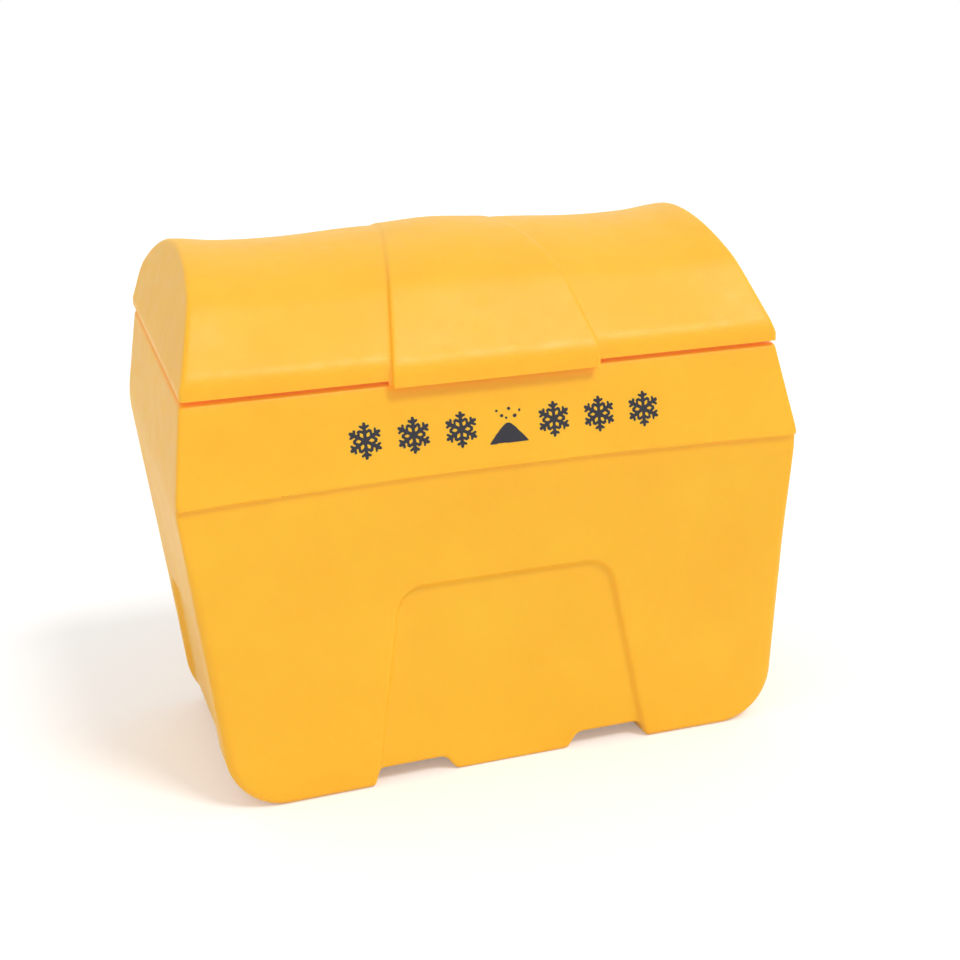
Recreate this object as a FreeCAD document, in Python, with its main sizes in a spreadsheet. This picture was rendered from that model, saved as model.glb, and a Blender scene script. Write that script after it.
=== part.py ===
"""Grit salt bin: a rotomoulded tub on three feet and a domed lid on two bolt hinges.

Millimetres and degrees. +Z is up, the front faces -Y, and the origin is the middle of
the footprint on the ground. Depths in the sheet are measured back from the ledge that
runs along the front, which is the foremost edge of the tub.
"""
import FreeCAD, Part
import os
import re
import Sketcher
from math import acos, asin, atan2, cos, degrees, radians, sin, tan

SIZES = {
    # Frame of reference: the ledge's front stands this far before the middle.
    "middle": 297,
    # One slope for the fold round the sides, the rim and the parting line.
    "parting_tilt": 9.1,
    "tub_wall": 6,
    # Lower tub, whose flat sides spread upwards to the fold.
    "base_half": 456, "base_front": 10, "base_rear": 508,
    "fold_height": 490, "fold_half_front": 505, "fold_rear": 562,
    # The upper tub stands out over the lower by the ledge in front, and a little elsewhere.
    "ledge_step": 9, "fold_step": 1.2,
    "lower_front_radius": 16, "lower_rear_radius": 47,
    # Upper tub, which leans in from the fold to the rim.
    "fascia_height": 138, "rim_front": 38, "rim_rear": 556, "rim_half_front": 485,
    "upper_front_radius": 12, "upper_rear_radius": 45,
    "shoulder_width": 13, "upstand_height": 14, "upstand_wall": 6,
    # Feet and the fork channels between them, seen from the front.
    "channel_height": 25, "channel_radius": 8,
    "centre_foot_top_half": 114, "centre_foot_base_half": 96,
    "outer_foot_top_end": 224, "outer_foot_base_end": 234,
    "base_corner_radius": 85,
    # Recessed panels with sloping edges, open at the bottom.
    "recess_depth": 12, "recess_radius": 35, "recess_draft": 25, "recess_skirt": 40,
    "front_recess_top": 319, "front_recess_top_half": 174, "front_recess_base_half": 230,
    "side_recess_top": 258, "side_recess_front": 92, "side_recess_rear": 452,
    # Lid, as a profile seen from the side.
    "lid_gap": 7, "lid_wall": 5,
    "lid_front": 31, "lid_rear": 557, "skirt_height": 32,
    "facet_slope": 51, "rear_slope": 74,
    "crown_depth": 335, "crown_centre_height": 477, "crown_radius": 370,
    "skirt_bend": 12, "shoulder_bend": 90, "rear_bend": 32,
    # Lid ends, which lean in above the skirt.
    "lid_half_front": 484, "lid_half_rear": 493, "end_lean": 18.3, "end_edge_radius": 10,
    "end_below": 60, "end_above": 230,
    # Raised band over the middle of the lid, with the lip for the hand.
    "band_rise": 8, "lip_front": 17,
    "band_half_lip": 173, "band_half_shoulder": 138, "band_half_crown": 98,
    "band_shoulder_depth": 113,
    # Hinges.
    "hinge_depth": 579, "hinge_height": 700, "hinge_spread": 300,
    "ear_radius": 15, "ear_width": 20, "ear_root": 634,
    "knuckle_radius": 14, "knuckle_width": 60, "knuckle_play": 1,
    "knuckle_root_low": 4, "knuckle_root_high": 32, "knuckle_sunk_low": 3, "knuckle_sunk_high": 10,
    # A heel on each knuckle stops the open lid against the rear wall.
    "open_angle": 105, "rear_wall_lean": 2.5, "heel_reach": 21.9, "heel_length": 8.5,
    "heel_sunk": 2, "heel_front": 60, "heel_back": 70,
    "bolt_radius": 6, "running_play": 0.08, "bush_radius": 9, "ear_hole_play": 0.1, "washer_play": 0.25,
    "hex_radius": 10.4, "head_height": 7.5, "nut_height": 12, "thread_end": 3,
    "washer_radius": 12, "washer_height": 2.5,
    # What follows from the sizes above: flat sides, and a rim that runs beside the fold.
    "side_slope": "=(fold_half_front - fold_step - base_half) / fold_height",
    "fold_half_rear": "=fold_half_front + fold_rear * tan(parting_tilt) * side_slope",
    "rim_half_rear": "=rim_half_front + (rim_rear - rim_front) / fold_rear"
                     " * (fold_half_rear - fold_half_front)",
    "fold_at_middle": "=fold_height + middle * tan(parting_tilt)",
    "rim_at_middle": "=fold_at_middle + fascia_height",
    "half_stack": "=knuckle_width / 2 + knuckle_play + ear_width",
    # Longer than the bin, for shapes that run right through it.
    "through": 1400,
}

X_AXIS = FreeCAD.Vector(1, 0, 0)
Y_AXIS = FreeCAD.Vector(0, 1, 0)
Z_AXIS = FreeCAD.Vector(0, 0, 1)
FLAT = FreeCAD.Rotation()
FRONT_VIEW = FreeCAD.Rotation(X_AXIS, 90)
SIDE_VIEW = FreeCAD.Rotation(Z_AXIS, 90).multiply(FRONT_VIEW)

doc = FreeCAD.newDocument("grit_salt_bin")
sheet = doc.addObject("Spreadsheet::Sheet", "Sizes")
for row, (alias, size) in enumerate(SIZES.items(), start=1):
    sheet.set(f"A{row}", alias)
    sheet.set(f"B{row}", str(size))
    sheet.setAlias(f"B{row}", alias)
doc.recompute()


def linked(formula):
    """Spell out each alias in a formula as a reference to the sheet."""
    return re.sub("[a-z_]+", lambda word: f"Sizes.{word[0]}" if word[0] in SIZES else word[0], formula)


def number(formula):
    """What a formula comes to now, for a first drawing or a choice."""
    result = sheet.evalExpression(linked(formula))
    return float(getattr(result, "Value", result))


def on_circle(centre, radius, angle):
    return (centre[0] + radius * cos(radians(angle)), centre[1] + radius * sin(radians(angle)))


class Outline:
    """A sketch that is drawn from points, arcs and dimensions bound to the sheet."""

    def __init__(self, name, rotation=FLAT):
        self.sketch = doc.addObject("Sketcher::SketchObject", name)
        self.sketch.Placement = FreeCAD.Placement(FreeCAD.Vector(), rotation)

    def line(self, start, end):
        edge = Part.LineSegment(FreeCAD.Vector(*start, 0), FreeCAD.Vector(*end, 0))
        return self.sketch.addGeometry(edge, False)

    def arc(self, centre, radius, from_angle, to_angle):
        circle = Part.Circle(FreeCAD.Vector(*centre, 0), Z_AXIS, radius)
        edge = Part.ArcOfCircle(circle, radians(from_angle), radians(to_angle))
        return self.sketch.addGeometry(edge, False)

    def corner(self, at, line_a, line_b):
        """A construction point where two lines would meet without their rounding."""
        point = self.sketch.addGeometry(Part.Point(FreeCAD.Vector(*at, 0)), True)
        self.fix("PointOnObject", point, 1, line_a)
        self.fix("PointOnObject", point, 1, line_b)
        return point

    def fix(self, kind, *where):
        self.sketch.addConstraint(Sketcher.Constraint(kind, *where))

    def size(self, kind, *where, to):
        drawn = radians(number(to)) if kind == "Angle" else number(to)
        index = self.sketch.addConstraint(Sketcher.Constraint(kind, *where, drawn))
        self.sketch.setExpression(f"Constraints[{index}]", linked(to))

    def across(self, geometry, vertex, to):
        """Dimension a point's distance from the middle, on whichever side it lies."""
        x = self.sketch.getPoint(geometry, vertex).x
        ends = (-1, 1, geometry, vertex) if x > 0 else (geometry, vertex, -1, 1)
        self.size("DistanceX", *ends, to=to)

    def along(self, geometry, vertex, to):
        y = self.sketch.getPoint(geometry, vertex).y
        ends = (-1, 1, geometry, vertex) if y > 0 else (geometry, vertex, -1, 1)
        self.size("DistanceY", *ends, to=to)

    def pin(self, kind, line, formula):
        """Dimension a line's start from an axis, by a formula that may be negative."""
        drawn = number(formula)
        if abs(drawn) < 1e-9:
            self.fix("PointOnObject", line, 1, -2 if kind == "DistanceX" else -1)
        elif drawn > 0:
            self.size(kind, -1, 1, line, 1, to=formula)
        else:
            self.size(kind, line, 1, -1, 1, to=f"0 - ({formula})")

    def place(self, **formulas):
        """Bind where the sketch lies, by the names of its placement's parts."""
        for part, formula in formulas.items():
            self.sketch.setExpression(f"Placement.Base.{part}", linked(formula))
        return self.sketch

    def place_on_slope(self, height):
        """Lay the sketch parallel to the parting line, at a height over the middle."""
        self.sketch.Placement = FreeCAD.Placement(FreeCAD.Vector(), FreeCAD.Rotation(X_AXIS, 1))
        self.sketch.setExpression("Placement.Rotation.Angle", linked("parting_tilt"))
        return self.place(z=height)


def plan(name, height, half_front, half_rear, front, rear, front_radius, rear_radius):
    """A rounded trapezium on the slope: front and rear are depths behind the ledge."""
    to_front = f"(middle - ({front})) / cos(parting_tilt)"
    to_rear = f"(({rear}) - middle) / cos(parting_tilt)"
    halves = (half_front, half_rear, half_rear, half_front)
    rounding = (front_radius, rear_radius, rear_radius, front_radius)
    ahead, behind = number(to_front), number(to_rear)
    corners = []
    turns = []
    for index, (half, radius) in enumerate(zip(halves, rounding)):
        x = number(half) if index < 2 else -number(half)
        y = -ahead if index in (0, 3) else behind
        size = number(radius)
        centre = (x - size if x > 0 else x + size, y - size if y > 0 else y + size)
        corners.append((x, y))
        turns.append((centre, size, 90 * index - 90))
    outline = Outline(name)
    for (centre, size, angle), after in zip(turns[-1:] + turns[:-1], turns):
        outline.line(on_circle(centre, size, angle + 90), on_circle(*after))
    for centre, size, angle in turns:
        outline.arc(centre, size, angle, angle + 90)
    for index, corner in enumerate(corners):
        arc, next_side = 4 + index, (index + 1) % 4
        outline.fix("Tangent", index, 2, arc, 1)
        outline.fix("Tangent", arc, 2, next_side, 1)
        outline.corner(corner, index, next_side)
    outline.fix("Horizontal", 0)
    outline.fix("Horizontal", 2)
    for index, (half, radius) in enumerate(zip(halves, rounding)):
        outline.across(8 + index, 1, half)
        outline.size("Radius", 4 + index, to=radius)
    outline.along(8, 1, to_front)
    outline.along(9, 1, to_rear)
    return outline.place_on_slope(height)


def polygon(name, corners, rotation=FRONT_VIEW, symmetric=False):
    """Straight sides through corners, each given by two formulas that may be negative.

    With symmetric the corners are the right half, from the middle outwards, and the
    left half mirrors it.
    """
    if symmetric:
        corners = corners + [(f"0 - ({x})", y) for x, y in reversed(corners) if x != "0"]
    points = [(number(x), number(y)) for x, y in corners]
    outline = Outline(name, rotation)
    count = len(points)
    for index, point in enumerate(points):
        outline.line(point, points[(index + 1) % count])
    for index, (x, y) in enumerate(corners):
        outline.fix("Coincident", index, 2, (index + 1) % count, 1)
        outline.pin("DistanceX", index, x)
        outline.pin("DistanceY", index, y)
    return outline


def loft(name, low, high):
    result = doc.addObject("Part::Loft", name)
    result.Sections = [low, high]
    result.Solid = True
    result.Ruled = True
    return result


def prism(name, base, length, symmetric=True, draft=None):
    """An outline run straight through, or drawn in by a draft angle as it goes."""
    result = doc.addObject("Part::Extrusion", name)
    result.Base = base
    result.DirMode = "Normal"
    result.Solid = True
    result.Symmetric = symmetric
    result.setExpression("LengthFwd", linked(length))
    if draft:
        result.setExpression("TaperAngle", linked(draft))
    return result


def offset(name, outline, distance, rounded=False):
    """An outline moved outwards by a distance, with sharp or rounded corners."""
    result = doc.addObject("Part::Offset2D", name)
    result.Source = outline
    result.Join = "Arc" if rounded else "Intersection"
    result.setExpression("Value", linked(distance))
    return result


def combine(kind, name, *members):
    """A boolean: Cut takes a base and a tool, the others take any number of shapes."""
    if kind == "Cut":
        result = doc.addObject("Part::Cut", name)
        result.Base, result.Tool = members
    else:
        result = doc.addObject(f"Part::Multi{kind}", name)
        result.Shapes = list(members)
    return result


def runs(edge, axis):
    """Whether a straight edge runs along an axis."""
    if edge.Curve.TypeId != "Part::GeomLine":
        return False
    return abs(abs(edge.Curve.Direction.dot(axis)) - 1) < 1e-6


def rounded(name, base, *rounding):
    """Round edges of a shape, by pairs of a radius and a test of the edge and its middle."""
    doc.recompute()
    chosen = []
    for index, edge in enumerate(base.Shape.Edges, start=1):
        middle = edge.valueAt((edge.FirstParameter + edge.LastParameter) / 2)
        for radius, wanted in rounding:
            if wanted(edge, middle):
                chosen.append((index, number(radius), number(radius)))
    result = doc.addObject("Part::Fillet", name)
    result.Base = base
    result.Edges = chosen
    return result


def lower_block(name, gap):
    """The flat-sided body below the fold, drawn in by a gap all round."""
    top = f"fold_height + {gap} + tan(parting_tilt) *"
    rear, front = f"(fold_rear - fold_step - {gap})", f"(ledge_step + {gap})"
    side = polygon(f"{name}_side", [
        (f"base_front + {gap} - middle", "0"), (f"base_rear - {gap} - middle", "0"),
        (f"{rear} - middle", f"{top} {rear}"), (f"{front} - middle", f"{top} {front}"),
    ], SIDE_VIEW).sketch
    half = f"base_half - {gap} / cos(atan(side_slope))"
    face = polygon(f"{name}_face", [
        (half, "0"), (f"{half} + side_slope * through", "through"),
    ], symmetric=True).sketch
    return combine("Common", name, prism(f"{name}_length", side, "through"),
                   prism(f"{name}_depth", face, "through"))


def lower_tub(name, gap):
    """The body below the fold with its upright edges rounded."""
    def upright(edge, middle):
        return edge.tangentAt(edge.FirstParameter).z ** 2 > 0.5

    return rounded(name, lower_block(f"{name}_block", gap),
                   (f"lower_front_radius - {gap}", lambda edge, at: upright(edge, at) and at.y < 0),
                   (f"lower_rear_radius - {gap}", lambda edge, at: upright(edge, at) and at.y > 0))


def upper_tub(name, gap):
    """The band from the fold up to the rim, drawn in by a gap; its foot is the ledge."""
    radii = (f"upper_front_radius - {gap}", f"upper_rear_radius - {gap}")
    fold = plan(f"{name}_fold", f"fold_at_middle + {gap}", f"fold_half_front - {gap}",
                f"fold_half_rear - {gap}", gap, f"fold_rear - {gap}", *radii)
    rim = plan(f"{name}_rim", f"rim_at_middle - {gap}", f"rim_half_front - {gap}",
               f"rim_half_rear - {gap}", f"rim_front + {gap}", f"rim_rear - {gap}", *radii)
    return loft(name, fold, rim)


def rim_ring(name, inwards, bottom, height):
    """A prism square to the rim, whose outline lies some way inside the rim."""
    outline = plan(f"{name}_plan", f"rim_at_middle + {bottom}",
                   f"rim_half_front - ({inwards})", f"rim_half_rear - ({inwards})",
                   f"rim_front + {inwards}", f"rim_rear - ({inwards})",
                   "upper_front_radius", "upper_rear_radius - shoulder_width")
    return prism(name, outline, height, symmetric=False)


def foot_outline():
    """The tub seen from the front: three feet, two channels and the spreading sides."""
    return polygon("foot_outline", [
        ("0", "0"), ("centre_foot_base_half", "0"), ("centre_foot_top_half", "channel_height"),
        ("outer_foot_top_end", "channel_height"), ("outer_foot_base_end", "0"),
        ("base_half", "0"), ("base_half + side_slope * through", "through"), ("0", "through"),
    ], symmetric=True).sketch


def foot_prism(name, outline, gap):
    """The feet run through from front to rear, with rounded corners, drawn in by a gap."""
    edge_of_base = number("base_half - base_corner_radius")
    channel_edge = number("outer_foot_base_end + base_corner_radius / 2")
    block = prism(f"{name}_block", outline, "through")
    return rounded(name, block,
                   (f"base_corner_radius - {gap}", lambda edge, at: runs(edge, Y_AXIS)
                    and at.z < number("channel_height") and abs(at.x) > edge_of_base),
                   (f"channel_radius - {gap}", lambda edge, at: runs(edge, Y_AXIS)
                    and at.z < number("channel_height / 2") and abs(at.x) < channel_edge),
                   (f"channel_radius + {gap}", lambda edge, at: runs(edge, Y_AXIS)
                    and number("channel_height / 2") < at.z < number("channel_height * 2")
                    and abs(at.x) < channel_edge))


def soft_outline(name, outline, growth):
    """An outline with its outer corners rounded, grown by some distance."""
    core = offset(f"{name}_core", outline, "0 - recess_radius")
    return offset(name, core, f"recess_radius + {growth}", rounded=True)


def recess_prisms(name, growth):
    """The recesses of the front, narrowing inwards, and of both sides, as one shape."""
    below = "(0 - recess_skirt)"
    flare = "(front_recess_base_half - front_recess_top_half) / front_recess_top"
    front = polygon(f"{name}_front_outline", [
        (f"front_recess_base_half + {flare} * recess_skirt", below),
        ("front_recess_top_half", "front_recess_top"),
    ], symmetric=True).place(y="0 - middle")
    side = polygon(f"{name}_side_outline", [
        ("side_recess_front - middle", below), ("side_recess_rear - middle", below),
        ("side_recess_rear - middle", "side_recess_top"),
        ("side_recess_front - middle", "side_recess_top"),
    ], SIDE_VIEW).sketch
    front = soft_outline(f"{name}_front", front, f"{growth} + base_front * tan(recess_draft)")
    side = soft_outline(f"{name}_side", side, growth)
    wedge = prism(f"{name}_front_block", front, "base_front * 4", symmetric=False, draft="0 - recess_draft")
    wedge.Reversed = True
    return combine("Fuse", name, wedge, prism(f"{name}_side_block", side, "through"))


def make_tub():
    outline = foot_outline()
    foot = foot_prism("foot", outline, "0")
    inner_foot = foot_prism("inner_foot", offset("inner_foot_outline", outline, "0 - tub_wall"), "tub_wall")

    lower = combine("Common", "lower_on_feet", lower_tub("lower", "0"), foot)
    upstand = rim_ring("upstand", "shoulder_width", "0 - 2", "upstand_height + 2")
    body = combine("Fuse", "tub_body", lower, upper_tub("upper", "0"), upstand)
    panels = combine("Cut", "recesses", recess_prisms("recess_shapes", "0"),
                     lower_block("recess_core", "recess_depth"))
    outside = combine("Cut", "tub_outside", body, panels)

    lower = combine("Common", "cavity_on_feet", lower_tub("cavity_lower", "tub_wall"), inner_foot)
    throat = rim_ring("throat", "shoulder_width + upstand_wall", "0 - tub_wall * 2",
                      "upstand_height + tub_wall * 4")
    hollow = combine("Fuse", "cavity_body", lower, upper_tub("cavity_upper", "tub_wall"), throat)
    backing = combine("Cut", "recess_backs", recess_prisms("backing_shapes", "tub_wall"),
                      lower_block("backing_core", "(recess_depth + tub_wall)"))
    hollow = combine("Cut", "cavity", hollow, backing)
    shell = combine("Cut", "tub_shell", outside, hollow)

    # Two solid ears each side of a knuckle, drilled for the hinge bolt.
    roots = [("fold_rear - tub_wall / 2 - middle", "ear_root"),
             ("rim_rear - tub_wall / 2 - middle", "hinge_height + ear_radius - tub_wall")]
    ears = []
    holes = []
    for side in (-1, 1):
        centre = f"{side} * hinge_spread"
        holes.append(cross_rod(f"ear_hole_{len(holes)}", "bolt_radius + ear_hole_play",
                               "knuckle_width * 3", centre))
        for face in (-1, 1):
            middle = f"{centre} + {face} * (half_stack - ear_width / 2)"
            ears.append(hinge_leaf(f"ear_{len(ears)}", roots, "ear_radius", "ear_width", middle))
    mass = combine("Fuse", "tub_with_ears", shell, *ears)
    return combine("Cut", "tub", mass, combine("Fuse", "ear_holes", *holes))


def skirt_height_at(front):
    """Where the lid's bottom edge lies at a depth, as a height above the ground."""
    return f"fold_height + fascia_height + lid_gap + ({front}) * tan(parting_tilt)"


def lid_profile(name, front, rise, drop="0"):
    """The lid from the side: skirt, sloping facet, crown and rear, joined by bends.

    The shape is offset outwards by a rise, and its bottom edge is lowered by a drop.
    """
    facet, rear_slope = number("facet_slope"), number("rear_slope")
    low = f"{skirt_height_at(front)} - ({drop})"
    skirt_top = (f"{skirt_height_at('lid_front')} + skirt_height"
                 f" + ({front} - lid_front) * tan(facet_slope) + ({rise}) / cos(facet_slope)")
    rear = f"lid_rear + ({rise}) / sin(rear_slope)"
    crown = f"crown_radius + {rise}"
    bends = [f"{bend} + {rise}" for bend in ("skirt_bend", "shoulder_bend", "rear_bend")]

    start = (number(f"{front} - middle"), number(low))
    knee = (start[0], number(skirt_top))
    end_x = number(f"{rear} - middle")
    end = (end_x, start[1] + (end_x - start[0]) * tan(radians(number("parting_tilt"))))
    centre = (number("crown_depth - middle"), number("crown_centre_height"))
    radius = number(crown)
    skirt_turn, shoulder_turn, rear_turn = (number(bend) for bend in bends)

    setback = skirt_turn * tan(radians(45 - facet / 2))
    skirt_centre = (knee[0] + skirt_turn, knee[1] - setback)
    shoulder_angle = tangent_angle(centre, radius, shoulder_turn, knee, facet, ahead=True)
    rear_angle = tangent_angle(centre, radius, rear_turn, end, -rear_slope, ahead=False)
    shoulder_centre = on_circle(centre, radius - shoulder_turn, shoulder_angle)
    rear_centre = on_circle(centre, radius - rear_turn, rear_angle)

    outline = Outline(name, SIDE_VIEW)
    skirt = outline.line(start, (knee[0], knee[1] - setback))
    skirt_arc = outline.arc(skirt_centre, skirt_turn, facet + 90, 180)
    slope = outline.line(on_circle(skirt_centre, skirt_turn, facet + 90),
                         on_circle(shoulder_centre, shoulder_turn, facet + 90))
    shoulder_arc = outline.arc(shoulder_centre, shoulder_turn, shoulder_angle, facet + 90)
    crown_arc = outline.arc(centre, radius, rear_angle, shoulder_angle)
    rear_arc = outline.arc(rear_centre, rear_turn, 90 - rear_slope, rear_angle)
    back = outline.line(end, on_circle(rear_centre, rear_turn, 90 - rear_slope))
    bottom = outline.line(start, end)
    for first, vertex, second, other in (
            (skirt, 2, skirt_arc, 2), (skirt_arc, 1, slope, 1), (slope, 2, shoulder_arc, 2),
            (shoulder_arc, 1, crown_arc, 2), (crown_arc, 1, rear_arc, 2), (rear_arc, 1, back, 2)):
        outline.fix("Tangent", first, vertex, second, other)
    outline.fix("Coincident", bottom, 1, skirt, 1)
    outline.fix("Coincident", bottom, 2, back, 1)
    outline.fix("Vertical", skirt)
    knee_point = outline.corner(knee, skirt, slope)
    outline.size("Angle", slope, to="facet_slope")
    outline.size("Angle", back, to="180 - rear_slope")
    outline.size("Angle", bottom, to="parting_tilt")
    outline.across(crown_arc, 3, "crown_depth - middle")
    outline.along(crown_arc, 3, "crown_centre_height")
    outline.size("Radius", crown_arc, to=crown)
    for arc, bend in zip((skirt_arc, shoulder_arc, rear_arc), bends):
        outline.size("Radius", arc, to=bend)
    outline.across(skirt, 1, f"middle - ({front})")
    outline.along(skirt, 1, low)
    outline.along(knee_point, 1, skirt_top)
    outline.across(back, 1, f"{rear} - middle")
    return outline.sketch


def tangent_angle(centre, radius, bend, point, heading, ahead):
    """Where on a circle a bend touches it that joins it to a line through a point."""
    right = (sin(radians(heading)), -cos(radians(heading)))
    aside = (centre[0] - point[0]) * right[0] + (centre[1] - point[1]) * right[1]
    turn = degrees(asin((bend - aside) / (radius - bend)))
    return heading - turn if ahead else heading + 180 + turn


def lid_ends(name, gap):
    """What lies between the lid's two ends, which lean in above the skirt."""
    sections = []
    for part, height in (("low", "(0 - end_below)"), ("high", "end_above")):
        lean = f"({height} * tan(end_lean) + ({gap}) / cos(end_lean))"
        sections.append(plan(f"{name}_{part}", f"rim_at_middle + lid_gap + {height}",
                             f"lid_half_front - {lean}", f"lid_half_rear - {lean}",
                             "0", "middle * 2", "upper_front_radius", "upper_front_radius"))
    return loft(name, *sections)


def band_plan(name, gap):
    """The band from above: wide at the lip, narrowing to the crown, then straight."""
    return polygon(name, [
        ("0", "0 - middle"), (f"band_half_lip - ({gap})", "0 - middle"),
        (f"band_half_shoulder - ({gap})", "band_shoulder_depth - middle"),
        (f"band_half_crown - ({gap})", "crown_depth - middle"),
        (f"band_half_crown - ({gap})", "middle"), ("0", "middle"),
    ], FLAT, symmetric=True).sketch


def is_end_edge(edge, middle):
    """The edges round a lid's end, from the skirt's front over the crown to its rear."""
    slope = radians(number("parting_tilt"))
    tangent = edge.tangentAt(edge.FirstParameter)
    along_bottom = abs(tangent.z - sin(slope) * tangent.y) < 0.05
    return abs(middle.x) > number("lid_half_front / 2") and not along_bottom


def lid_block(name, gap, drop):
    """The lid and its band as a solid, drawn in by a gap."""
    side = lid_profile(f"{name}_profile", f"lid_front + {gap}", f"0 - {gap}", drop)
    roll = prism(f"{name}_roll", side, "through")
    lid = combine("Common", f"{name}_body", roll, lid_ends(f"{name}_ends", gap))
    if gap == "0":
        lid = rounded(f"{name}_soft", lid, ("end_edge_radius", is_end_edge))
    side = lid_profile(f"{name}_band_profile", f"lip_front + {gap}", f"band_rise - {gap}", drop)
    band_roll = prism(f"{name}_band_roll", side, "through")
    band_shape = prism(f"{name}_band_shape", band_plan(f"{name}_band_plan", gap), "through * 2")
    band = combine("Common", f"{name}_band", band_roll, band_shape)
    return combine("Fuse", name, lid, band)


def make_lid():
    outside = lid_block("lid_outside", "0", "0")
    inside = lid_block("lid_inside", "lid_wall", "upstand_height")
    shell = combine("Cut", "lid_shell", outside, inside)

    # A knuckle for each hinge hangs from the rear of the skirt.
    bottom = skirt_height_at("lid_rear")
    roots = [("lid_rear - knuckle_sunk_low - middle", f"{bottom} + knuckle_root_low"),
             ("lid_rear - knuckle_sunk_high - middle", f"{bottom} + knuckle_root_high")]
    knuckles = []
    bores = []
    for index, side in enumerate((-1, 1)):
        centre = f"{side} * hinge_spread"
        knuckles.append(hinge_leaf(f"knuckle_{index}", roots, "knuckle_radius", "knuckle_width", centre))
        knuckles.append(heel(f"heel_{index}", centre))
        bores.append(cross_rod(f"knuckle_bore_{index}", "bush_radius", "knuckle_width * 2", centre))
    mass = combine("Fuse", "lid_with_knuckles", shell, *knuckles)
    return combine("Cut", "lid", mass, combine("Fuse", "knuckle_bores", *bores))


def tangent_point(centre, radius, point, turn):
    """Where a line from a point touches a circle, on the side given by turn."""
    reach = ((point[0] - centre[0]) ** 2 + (point[1] - centre[1]) ** 2) ** 0.5
    bearing = degrees(atan2(point[1] - centre[1], point[0] - centre[0]))
    return on_circle(centre, radius, bearing + turn * degrees(acos(radius / reach)))


def hinge_leaf(name, roots, radius, width, middle):
    """A leaf round the hinge axis, drawn to a point and its two roots in a wall.

    The roots are named from below upwards, and middle is where the leaf is centred.
    """
    centre = (number("hinge_depth - middle"), number("hinge_height"))
    low, high = [(number(x), number(y)) for x, y in roots]
    under = tangent_point(centre, number(radius), low, 1)
    over = tangent_point(centre, number(radius), high, -1)
    angles = [degrees(atan2(y - centre[1], x - centre[0])) for x, y in (under, over)]
    outline = Outline(f"{name}_outline", SIDE_VIEW)
    below = outline.line(low, under)
    nose = outline.arc(centre, number(radius), *angles)
    above = outline.line(over, high)
    root = outline.line(high, low)
    outline.fix("Tangent", below, 2, nose, 1)
    outline.fix("Tangent", nose, 2, above, 1)
    outline.fix("Coincident", above, 2, root, 1)
    outline.fix("Coincident", root, 2, below, 1)
    outline.across(nose, 3, "hinge_depth - middle")
    outline.along(nose, 3, "hinge_height")
    outline.size("Radius", nose, to=radius)
    for line, (x, y) in zip((below, root), roots):
        outline.across(line, 1, x)
        outline.along(line, 1, y)
    return prism(name, outline.place(x=middle), width)


def heel(name, middle):
    """The foot of a knuckle, whose flat lies on the tub's rear wall when the lid is open."""
    facing = "(180 + rear_wall_lean + open_angle)"
    sunk = "(knuckle_radius - heel_sunk)"
    flat = (f"heel_reach * cos({facing})", f"heel_reach * sin({facing})")
    corners = [
        (f"{sunk} * cos({facing} - heel_front)", f"{sunk} * sin({facing} - heel_front)"), flat,
        (f"{flat[0]} - heel_length * sin({facing})", f"{flat[1]} + heel_length * cos({facing})"),
        (f"{sunk} * cos({facing} + heel_back)", f"{sunk} * sin({facing} + heel_back)"),
    ]
    outline = polygon(f"{name}_outline", [(f"hinge_depth - middle + ({x})", f"hinge_height + ({y})")
                                          for x, y in corners], SIDE_VIEW)
    return prism(name, outline.place(x=middle), "knuckle_width")


def at_hinge(shape, along_axis):
    """Turn a shape along the hinge axis and bind its place on it."""
    shape.Placement = FreeCAD.Placement(FreeCAD.Vector(), FreeCAD.Rotation(Y_AXIS, 90))
    shape.setExpression("Placement.Base.x", linked(along_axis))
    shape.setExpression("Placement.Base.y", linked("hinge_depth - middle"))
    shape.setExpression("Placement.Base.z", linked("hinge_height"))
    return shape


def cross_rod(name, radius, length, middle):
    """A rod along the hinge axis, centred at a point of it."""
    rod = doc.addObject("Part::Cylinder", name)
    rod.setExpression("Radius", linked(radius))
    rod.setExpression("Height", linked(length))
    return at_hinge(rod, f"{middle} - ({length}) / 2")


def hexagon(name, height, middle):
    """A hexagonal prism along the hinge axis, centred at a point of it."""
    block = doc.addObject("Part::Prism", name)
    block.Polygon = 6
    block.setExpression("Circumradius", linked("hex_radius"))
    block.setExpression("Height", linked(height))
    return at_hinge(block, f"{middle} - ({height}) / 2")


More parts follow.
